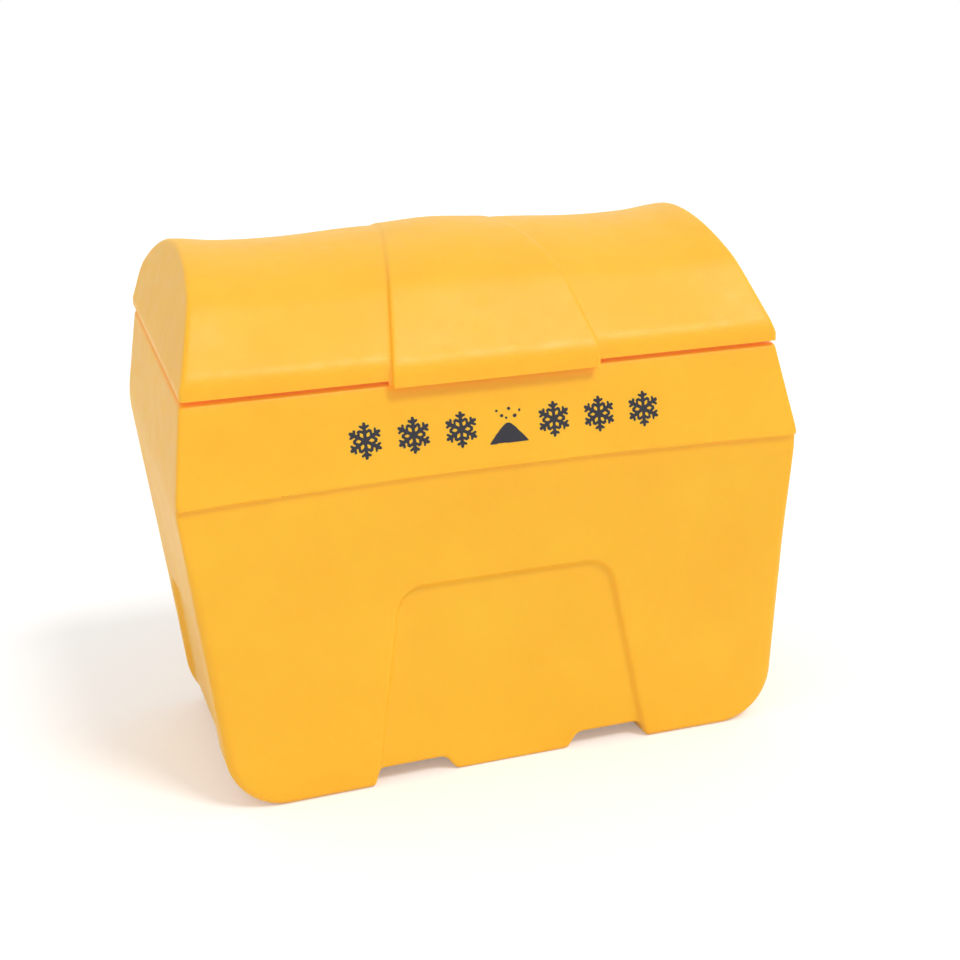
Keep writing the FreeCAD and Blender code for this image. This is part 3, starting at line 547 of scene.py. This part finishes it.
def ears(place):
    """The tub's two ears at a hinge, with the wall that they grow from."""
    across = np.abs(place[..., 0]) - HINGE_SPREAD
    leaf = hinge_eye(place, np.abs(across) - EAR_MIDDLE, EAR_HALF, EAR_RADIUS, *EAR_ROOTS)
    inner = EAR_WALL_Y - place[..., 1]
    wall = np.maximum(tub_outside(place) + SEAT, inner)
    grown = either(wall, np.maximum(leaf, inner), EAR_FILLET)
    return in_block(bored(grown, place, EAR_HOLE), across, place, *EAR_BLOCK)


def knuckle(place):
    """The lid's knuckle at a hinge and its stop heel, with the skirt that they grow from."""
    across = np.abs(place[..., 0]) - HINGE_SPREAD
    bottom = skirt_height(LID_REAR)
    roots = [(y, bottom + up) for y, up in KNUCKLE_ROOTS]
    leaf = hinge_eye(place, across, KNUCKLE_HALF, KNUCKLE_RADIUS, *roots)
    flat_y, flat_z = round_axis(HEEL_REACH, HEEL_TURN)
    heel = wedge(place, [
        round_axis(HEEL_ROOT, HEEL_TURN - HEEL_BEFORE), (flat_y, flat_z),
        (flat_y - HEEL_FLAT * sin(HEEL_TURN), flat_z + HEEL_FLAT * cos(HEEL_TURN)),
        round_axis(HEEL_ROOT, HEEL_TURN + HEEL_AFTER)])
    leaf = either(leaf, both(heel, np.abs(across) - KNUCKLE_HALF, LEAF_EDGE), LEAF_EDGE)
    dome = lid_dome(place)
    skirt = np.maximum(dome, below_lid(place)) + SEAT
    grown = np.maximum(either(skirt, leaf, KNUCKLE_FILLET), -KNUCKLE_WALL - dome)
    half, low, up = KNUCKLE_BLOCK
    hollow = bored(grown, place, BUSH_RADIUS + BUSH_SLACK)
    return in_block(hollow, across, place, half, low, bottom + up)


def block_below_lid(left, right, front, drop):
    """A block, from some depth to the rear, under the line along which the skirt is trimmed."""
    low = Vector((left, front - MIDDLE, -TRIM_DEEP - drop))
    high = Vector((right, TRIM_REAR, -drop))
    size = Matrix.Diagonal((*(high - low), 1))
    shape = bmesh.new()
    bmesh.ops.create_cube(shape, size=1, matrix=Matrix.Translation((low + high) / 2) @ size)
    lifted = Matrix.Scale(MM, 4) @ Matrix.Translation((0, 0, skirt_height(MIDDLE)))
    return solid("block", shape, lifted @ Matrix.Rotation(TILT, 4, "X"))


def grow_at_hinges(moulding, name, field, box):
    """Join the same form to a moulding at both hinges."""
    half, low, high = box
    for side in (-1, 1):
        middle = side * HINGE_SPREAD
        piece = skin(name, field, (middle - half, *low), (middle + half, *high), HINGE_CELL)
        carve(moulding, piece, "UNION")


def make_tub():
    cell = cell_size(TUB_CELL)
    low, high = (Vector(corner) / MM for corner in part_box("tub"))
    tub = skin("tub_shell", tub_outside, low, high, cell, BENDS)
    carve(tub, skin("tub_hollow", tub_inside, low, high, 2 * cell, BENDS[:1]))
    carve(tub, skin("tub_throat", tub_throat, *THROAT_BOX, cell, BENDS[:1]))
    grow_at_hinges(tub, "ears", ears, EARS_BOX)
    finish_piece(tub, "tub", "tub", "yellow_polyethylene")


def make_lid():
    """The lid, trimmed below its lip, then higher on both sides of the lip and behind it."""
    cell = cell_size(LID_CELL)
    low, high = (Vector(corner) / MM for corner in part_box("lid"))
    low.z -= LID_SPARE
    lid = skin("lid_shell", lid_outside, low, high, cell, BENDS)
    carve(lid, skin("lid_hollow", lid_inside, low, high, 2 * cell, BENDS[:1]))
    for left, right, front, drop in (
            (-TRIM_HALF, TRIM_HALF, TRIM_FRONT, LIP_DROP), (-TRIM_HALF, -LIP_HALF, TRIM_FRONT, 0),
            (LIP_HALF, TRIM_HALF, TRIM_FRONT, 0), (-2 * LIP_HALF, 2 * LIP_HALF, LIP_DEPTH, 0)):
        carve(lid, block_below_lid(left, right, front, drop))
    grow_at_hinges(lid, "knuckle", knuckle, KNUCKLE_BOX)
    finish_piece(lid, "lid", "lid", "yellow_polyethylene")


def point_camera():
    turn, dip, roll = (radians(angle) for angle in (CAMERA_TURN, CAMERA_DIP, CAMERA_ROLL))
    ahead = Vector((sin(turn) * cos(dip), cos(turn) * cos(dip), -sin(dip)))
    level = Vector((cos(turn), -sin(turn), 0))
    above = level.cross(ahead)
    right = cos(roll) * level + sin(roll) * above
    up = cos(roll) * above - sin(roll) * level
    data = bpy.data.cameras.new("camera")
    data.sensor_width = SENSOR_WIDTH
    data.lens = FOCAL_PIXELS * SENSOR_WIDTH / IMAGE_WIDTH
    camera = linked("camera", data)
    facing = Matrix((right, up, -ahead)).transposed().to_4x4()
    camera.matrix_world = Matrix.Translation(CAMERA_SPOT) @ facing
    bpy.context.scene.camera = camera


def turned(name, profile, middle, closed=False):
    """A rod or ring turned about the hinge axis, from (along, radius) points in order."""
    shape = bmesh.new()
    points = [shape.verts.new((along, 0, radius)) for along, radius in profile]
    after = points[1:] + points[:1] if closed else points[1:]
    edges = [shape.edges.new(pair) for pair in zip(points, after)]
    bmesh.ops.spin(shape, geom=points + edges, cent=(0, 0, 0), axis=(1, 0, 0), angle=2 * pi,
                   steps=ROUND_STEPS, use_merge=True)
    bmesh.ops.remove_doubles(shape, verts=shape.verts, dist=WELD)
    bmesh.ops.recalc_face_normals(shape, faces=shape.faces)
    return at_hinge(name, shape, middle)


def hexagon(name, low, high, middle):
    """A hexagonal prism along the hinge axis, with corners above and below."""
    shape = bmesh.new()
    lying = Matrix.Translation(((low + high) / 2, 0, 0)) @ Matrix.Rotation(pi / 2, 4, "Y")
    bmesh.ops.create_cone(shape, cap_ends=True, segments=6, radius1=HEX_RADIUS,
                          radius2=HEX_RADIUS, depth=high - low, matrix=lying)
    return at_hinge(name, shape, middle)


def at_hinge(name, shape, middle):
    """An object from a bmesh in millimetres about a hinge's middle."""
    move = Matrix.Scale(MM, 4) @ Matrix.Translation((middle, HINGE_Y, HINGE_Z))
    return solid(name, shape, move)


def ring(inner, outer, low, high, edge):
    """The profile of a ring with broken edges."""
    return [(low, inner + edge), (low, outer - edge), (low + edge, outer), (high - edge, outer),
            (high, outer - edge), (high, inner + edge), (high - edge, inner), (low + edge, inner)]


def make_hinge(side, word):
    """Bolt, nut, washers and bush of one hinge, whose bolt head is outermost."""
    middle = side * HINGE_SPREAD

    def outward(profile):
        return [(side * reach, radius) for reach, radius in profile]

    low, high = sorted((side * WASHER_FACE, side * HEAD_FACE))
    head = hexagon(f"bolt_head_{word}", low, high, middle)
    carve(head, turned("chamfer", outward(HEAD_PROFILE), middle), "INTERSECT")
    profile = [(-BOLT_END, 0), (-BOLT_END, TIP_RADII[0]), (-BOLT_END + TIP, TIP_RADII[1])]
    for step in range(1, THREAD_STEPS):
        cut = CREST if step % 2 else ROOT
        profile.append((-BOLT_END + TIP + HALF_PITCH * step, BOLT_RADIUS - cut))
    profile += [(-NUT_FACE + SHANK_SPARE, BOLT_RADIUS), (WASHER_FACE + SHANK_SPARE, BOLT_RADIUS),
                (WASHER_FACE + SHANK_SPARE, 0)]
    bolt = turned(f"hinge_bolt_{word}_steel", outward(profile), middle)
    carve(bolt, head, "UNION")
    finish_piece(bolt, "tub", f"hinge_bolt_{word}", "stainless_steel")

    low, high = sorted((side * -NUT_FACE, side * -WASHER_FACE))
    nut = hexagon(f"hinge_nut_{word}_steel", low, high, middle)
    carve(nut, turned("collar", outward(NUT_PROFILE), middle), "INTERSECT")
    start, end = -NUT_FACE - HOLE_SPARE, -WASHER_FACE + HOLE_SPARE
    hole = [(start, 0), (start, NUT_HOLE), (end, NUT_HOLE), (end, 0)]
    carve(nut, turned("nut_hole", outward(hole), middle))
    finish_piece(nut, "tub", f"hinge_nut_{word}", "stainless_steel")

    start, end = -NUT_FACE + INSERT_START, -NUT_FACE + INSERT_END
    profile = outward(ring(INSERT_HOLE, INSERT_RADIUS, start, end, INSERT_EDGE))
    insert = turned(f"nut_insert_{word}", profile, middle, True)
    finish_piece(insert, "tub", None, "white_nylon")

    profile = ring(WASHER_HOLE, WASHER_RADIUS, EAR_FACE, WASHER_FACE, WASHER_EDGE)
    washers = turned(f"hinge_washers_{word}_steel", profile, middle, True)
    profile = ring(WASHER_HOLE, WASHER_RADIUS, -WASHER_FACE, -EAR_FACE, WASHER_EDGE)
    carve(washers, turned("washer", profile, middle, True), "UNION")
    finish_piece(washers, "tub", f"hinge_washers_{word}", "stainless_steel")

    profile = ring(BUSH_BORE, BUSH_RADIUS, -KNUCKLE_HALF, KNUCKLE_HALF, BUSH_EDGE)
    bush = turned(f"knuckle_bush_{word}_nylon", profile, middle, True)
    finish_piece(bush, "lid", f"knuckle_bush_{word}", "white_nylon")


def finish_piece(piece, body, node, slot):
    """Bind a piece to its body and to its finish, and hide the node it stands for."""
    smooth(piece)
    piece.data.materials.clear()
    piece.data.materials.append(finishes[slot])
    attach(piece, body)
    if node:
        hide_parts(node)


def stroke(x, z, start, end, half_width):
    """Distance from a rounded bar in the plane of the symbols."""
    (ax, az), (bx, bz) = start, end
    length = (bx - ax) ** 2 + (bz - az) ** 2
    share = np.clip(((x - ax) * (bx - ax) + (z - az) * (bz - az)) / length, 0, 1)
    return np.hypot(x - ax - share * (bx - ax), z - az - share * (bz - az)) - half_width


def snow_crystal(x, z):
    """Six arms with two pairs of twigs each, folded from a twelfth of the turn."""
    angle, reach = np.arctan2(z, x), np.hypot(x, z)
    sector = pi / 3
    folded = np.abs((angle + sector / 2 + pi / 2) % sector - sector / 2)
    out, aside = reach * np.cos(folded), reach * np.sin(folded)
    arm = stroke(out, aside, (0, 0), (CRYSTAL_ARM, 0), STROKE)
    for foot, spread in TWIGS:
        tip = (foot + spread * TWIG_LEAN, spread)
        arm = np.minimum(arm, stroke(out, aside, (foot, 0), tip, STROKE * TWIG_STROKE))
    return arm


def grit_heap(x, z):
    """A heap with a rounded top, and six-sided grains that fall onto it."""
    drop = HEAP_SLOPE * (np.hypot(x, HEAP_ROUND) - HEAP_ROUND)
    heap = both((z - HEAP_TOP + drop) * HEAP_STEEP, HEAP_FOOT - z, HEAP_EDGE)
    for grain_x, grain_z, size in GRAINS:
        aside, above = np.abs(x - grain_x), np.abs(z - grain_z)
        slant = aside * GRAIN_SIDE[0] + above * GRAIN_SIDE[1]
        heap = np.minimum(heap, np.maximum(slant, above) - size)
    return heap


def make_symbol(index, middle, outline):
    """One symbol of thin dark film that lies on the front band."""
    def film(place):
        x, z = place[..., 0] - middle, place[..., 2] - SYMBOL_HEIGHT
        skin_gap = tub_outside(place)
        return np.maximum(np.maximum(skin_gap - FILM, -FILM_ROOT - skin_gap), outline(x, z))

    low = (middle - SYMBOL_HALF_WIDTH, SYMBOL_FRONT, SYMBOL_HEIGHT - SYMBOL_HALF_HEIGHT)
    high = (middle + SYMBOL_HALF_WIDTH, SYMBOL_REAR, SYMBOL_HEIGHT + SYMBOL_HALF_HEIGHT)
    symbol = skin(f"symbol_{index}", film, low, high, cell_size(FILM_CELL))
    finish_piece(symbol, "tub", None, "dark_vinyl")


def nodes_of(name):
    """A new material's node tree and shader."""
    material = bpy.data.materials.new(name)
    material.use_nodes = True
    finishes[name] = material
    return material.node_tree, material.node_tree.nodes["Principled BSDF"]


def noise(tree, scale, detail=2, stretch=None):
    """Noise over the piece's own coordinates, in cycles a metre."""
    texture = tree.nodes.new("ShaderNodeTexNoise")
    texture.inputs["Scale"].default_value = scale
    texture.inputs["Detail"].default_value = detail
    place = tree.nodes.new("ShaderNodeTexCoord").outputs["Object"]
    if stretch:
        mapping = tree.nodes.new("ShaderNodeMapping")
        mapping.inputs["Scale"].default_value = stretch
        tree.links.new(place, mapping.inputs["Vector"])
        place = mapping.outputs["Vector"]
    tree.links.new(place, texture.inputs["Vector"])
    return texture.outputs["Fac"]


def between(tree, fac, low, high, target):
    """Spread a noise over a range of values."""
    tree.links.new(ranged(tree, fac, *NOISE_RANGE, low, high), target)


def mottled(tree, fac, colour_a, colour_b, target):
    """Mix two colours in patches."""
    mix = tree.nodes.new("ShaderNodeMix")
    mix.data_type = "RGBA"
    between(tree, fac, 0, 1, mix.inputs["Factor"])
    mix.inputs["A"].default_value = (*colour_a, 1)
    mix.inputs["B"].default_value = (*colour_b, 1)
    tree.links.new(mix.outputs["Result"], target)


def bump(tree, shader, layers):
    """Roughen a surface by layers of noise, each with a strength and a depth in metres."""
    normal = None
    for texture, strength, depth in layers:
        node = tree.nodes.new("ShaderNodeBump")
        node.inputs["Strength"].default_value = strength
        node.inputs["Distance"].default_value = depth
        tree.links.new(noise(tree, *texture), node.inputs["Height"])
        if normal:
            tree.links.new(normal, node.inputs["Normal"])
        normal = node.outputs["Normal"]
    tree.links.new(normal, shader.inputs["Normal"])


def ranged(tree, source, start, end, first, last):
    """Turn a range of values into another."""
    spread = tree.nodes.new("ShaderNodeMapRange")
    names = ("From Min", "From Max", "To Min", "To Max")
    for name, value in zip(names, (start, end, first, last)):
        spread.inputs[name].default_value = value
    tree.links.new(source, spread.inputs["Value"])
    return spread.outputs["Result"]


def paint_glow_in_gaps(tree, shader):
    """Paint glow as emission above the feet, in gaps and inner corners, for light through the
    plastic.
    """
    openness = tree.nodes.new("ShaderNodeAmbientOcclusion")
    openness.samples = PAINTED_GLOW_SAMPLES
    openness.inputs["Distance"].default_value = PAINTED_GLOW_REACH
    place = tree.nodes.new("ShaderNodeSeparateXYZ")
    tree.links.new(tree.nodes.new("ShaderNodeTexCoord").outputs["Object"], place.inputs["Vector"])
    glow = tree.nodes.new("ShaderNodeMath")
    glow.operation = "MULTIPLY"
    strength = ranged(tree, openness.outputs["AO"], *PAINTED_GLOW_OPENNESS, PAINTED_GLOW_STRENGTH, 0)
    tree.links.new(strength, glow.inputs[0])
    tree.links.new(ranged(tree, place.outputs["Z"], *PAINTED_GLOW_HEIGHTS, 0, 1), glow.inputs[1])
    shader.inputs["Emission Color"].default_value = PAINTED_GLOW_COLOUR
    tree.links.new(glow.outputs["Value"], shader.inputs["Emission Strength"])


def make_finish(name, colours, patches, roughness, haze, layers):
    """A finish of two colours in patches, an uneven roughness, and layers of bump.

    Patches, haze and the first part of a layer are a noise's scale, detail and stretch."""
    tree, shader = nodes_of(name)
    mottled(tree, noise(tree, *patches), *colours, shader.inputs["Base Color"])
    between(tree, noise(tree, *haze), *roughness, shader.inputs["Roughness"])
    bump(tree, shader, layers)
    return tree, shader


def make_finishes():
    tree, shader = make_finish("yellow_polyethylene", (YELLOW, YELLOW_DEEP), (9, 4),
                               (0.4, 0.5), (35, 3), (PEBBLES, WAVES))
    shader.inputs["Subsurface Weight"].default_value = 0.4
    shader.inputs["Subsurface Radius"].default_value = (1, 0.25, 0.06)
    shader.inputs["Subsurface Scale"].default_value = 0.009
    # Painted glow: emission in gaps and inner corners, where shade falls.
    paint_glow_in_gaps(tree, shader)

    tree, shader = make_finish("stainless_steel", ((0.62, 0.62, 0.6), (0.5, 0.5, 0.49)), (120,),
                               (0.24, 0.4), (300,), (((500, 2, (6, 1, 1)), 0.2, 0.0001),))
    shader.inputs["Metallic"].default_value = 1
    make_finish("white_nylon", ((0.76, 0.74, 0.67), (0.7, 0.68, 0.6)), (60,),
                (0.4, 0.5), (200,), (((900,), 0.15, 0.0001),))
    make_finish("dark_vinyl", ((0.016, 0.015, 0.025), (0.012, 0.011, 0.019)), (40,),
                (0.3, 0.42), (90,), (WAVES,))


def see_through_rays(tree):
    """1 for rays from the camera, or by way of gloss or glass, and 0 for diffuse light."""
    light = tree.nodes.new("ShaderNodeLightPath")
    total = light.outputs["Is Camera Ray"]
    for other in ("Is Glossy Ray", "Is Transmission Ray"):
        largest = tree.nodes.new("ShaderNodeMath")
        largest.operation = "MAXIMUM"
        tree.links.new(total, largest.inputs[0])
        tree.links.new(light.outputs[other], largest.inputs[1])
        total = largest.outputs["Value"]
    return total


def make_studio():
    """Even light, a white ground behind it all, a soft key light, and the floor."""
    world = bpy.data.worlds.new("studio")
    bpy.context.scene.world = world
    world.use_nodes = True
    tree = world.node_tree
    ambient = tree.nodes["Background"]
    ambient.inputs["Color"].default_value = WHITE
    ambient.inputs["Strength"].default_value = AMBIENT
    white = tree.nodes.new("ShaderNodeBackground")
    white.inputs["Color"].default_value = WHITE
    mix = tree.nodes.new("ShaderNodeMixShader")
    tree.links.new(see_through_rays(tree), mix.inputs["Fac"])
    tree.links.new(ambient.outputs["Background"], mix.inputs[1])
    tree.links.new(white.outputs["Background"], mix.inputs[2])
    tree.links.new(mix.outputs["Shader"], tree.nodes["World Output"].inputs["Surface"])

    key = linked("key", bpy.data.lights.new("key", "SUN"))
    key.data.energy, key.data.angle = KEY_STRENGTH, radians(KEY_WIDTH)
    turn, height = radians(KEY_TURN), radians(KEY_HEIGHT)
    towards = Vector((sin(turn) * cos(height), -cos(turn) * cos(height), sin(height)))
    key.rotation_euler = towards.to_track_quat("Z", "Y").to_euler()
    make_floor()


def make_floor():
    """A floor that takes shadows, and shows lighter than the light that it throws back."""
    shape = bmesh.new()
    bmesh.ops.create_grid(shape, x_segments=1, y_segments=1, size=FLOOR_HALF)
    floor = solid("floor", shape, Matrix.Translation((0, 0, FLOOR_Z)))
    tree, shader = nodes_of("floor")
    shader.inputs["Base Color"].default_value = FLOOR_COLOUR
    shader.inputs["Roughness"].default_value = 1
    shader.inputs["Specular IOR Level"].default_value = 0
    glow = tree.nodes.new("ShaderNodeEmission")
    glow.inputs["Strength"].default_value = FLOOR_GLOW
    lit = tree.nodes.new("ShaderNodeAddShader")
    mix = tree.nodes.new("ShaderNodeMixShader")
    tree.links.new(shader.outputs["BSDF"], lit.inputs[0])
    tree.links.new(glow.outputs["Emission"], lit.inputs[1])
    tree.links.new(see_through_rays(tree), mix.inputs["Fac"])
    tree.links.new(shader.outputs["BSDF"], mix.inputs[1])
    tree.links.new(lit.outputs["Shader"], mix.inputs[2])
    tree.links.new(mix.outputs["Shader"], tree.nodes["Material Output"].inputs["Surface"])
    floor.data.materials.append(finishes["floor"])


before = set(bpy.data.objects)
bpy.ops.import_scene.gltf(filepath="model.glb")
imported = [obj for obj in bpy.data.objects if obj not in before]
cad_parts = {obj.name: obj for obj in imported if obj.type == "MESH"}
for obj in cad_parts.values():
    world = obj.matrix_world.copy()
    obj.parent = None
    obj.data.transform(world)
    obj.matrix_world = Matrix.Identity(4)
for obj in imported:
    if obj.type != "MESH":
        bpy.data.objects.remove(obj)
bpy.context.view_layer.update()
bpy.context.scene.view_settings.view_transform = "Standard"
point_camera()
make_finishes()
make_studio()
make_tub()
make_lid()
make_hinge(-1, "left")
make_hinge(1, "right")
for index in range(SYMBOLS):
    outline = grit_heap if index == SYMBOLS // 2 else snow_crystal
    make_symbol(index, SYMBOL_START + index * SYMBOL_PITCH, outline)
